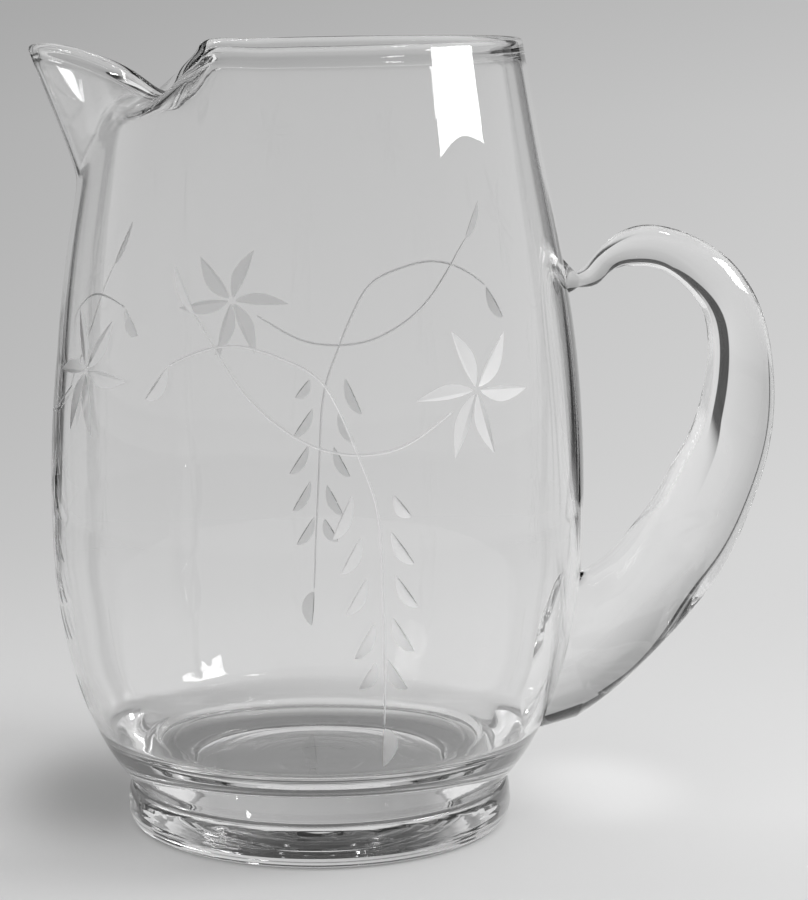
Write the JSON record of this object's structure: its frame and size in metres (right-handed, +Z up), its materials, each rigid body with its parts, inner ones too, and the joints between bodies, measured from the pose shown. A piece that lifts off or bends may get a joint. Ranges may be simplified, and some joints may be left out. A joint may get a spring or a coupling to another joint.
{
  "type": "cocktail pitcher",
  "caption": "Clear blown-glass pitcher with a barrel bowl, a pinched ice lip, a thick applied foot and a tapering applied handle.",
  "frame": {"origin": "centre of the foot, on the plane that the pitcher stands on", "axes": "+Z up along the bowl's axis, +X towards the handle, -X towards the spout"},
  "size_m": [0.2038, 0.1462, 0.216],
  "materials": {
    "clear_glass": "fire-polished"
  },
  "bodies": {
    "root": {"body": "clear_glass", "foot": "clear_glass", "handle": "clear_glass"}
  },
  "joints": []
}
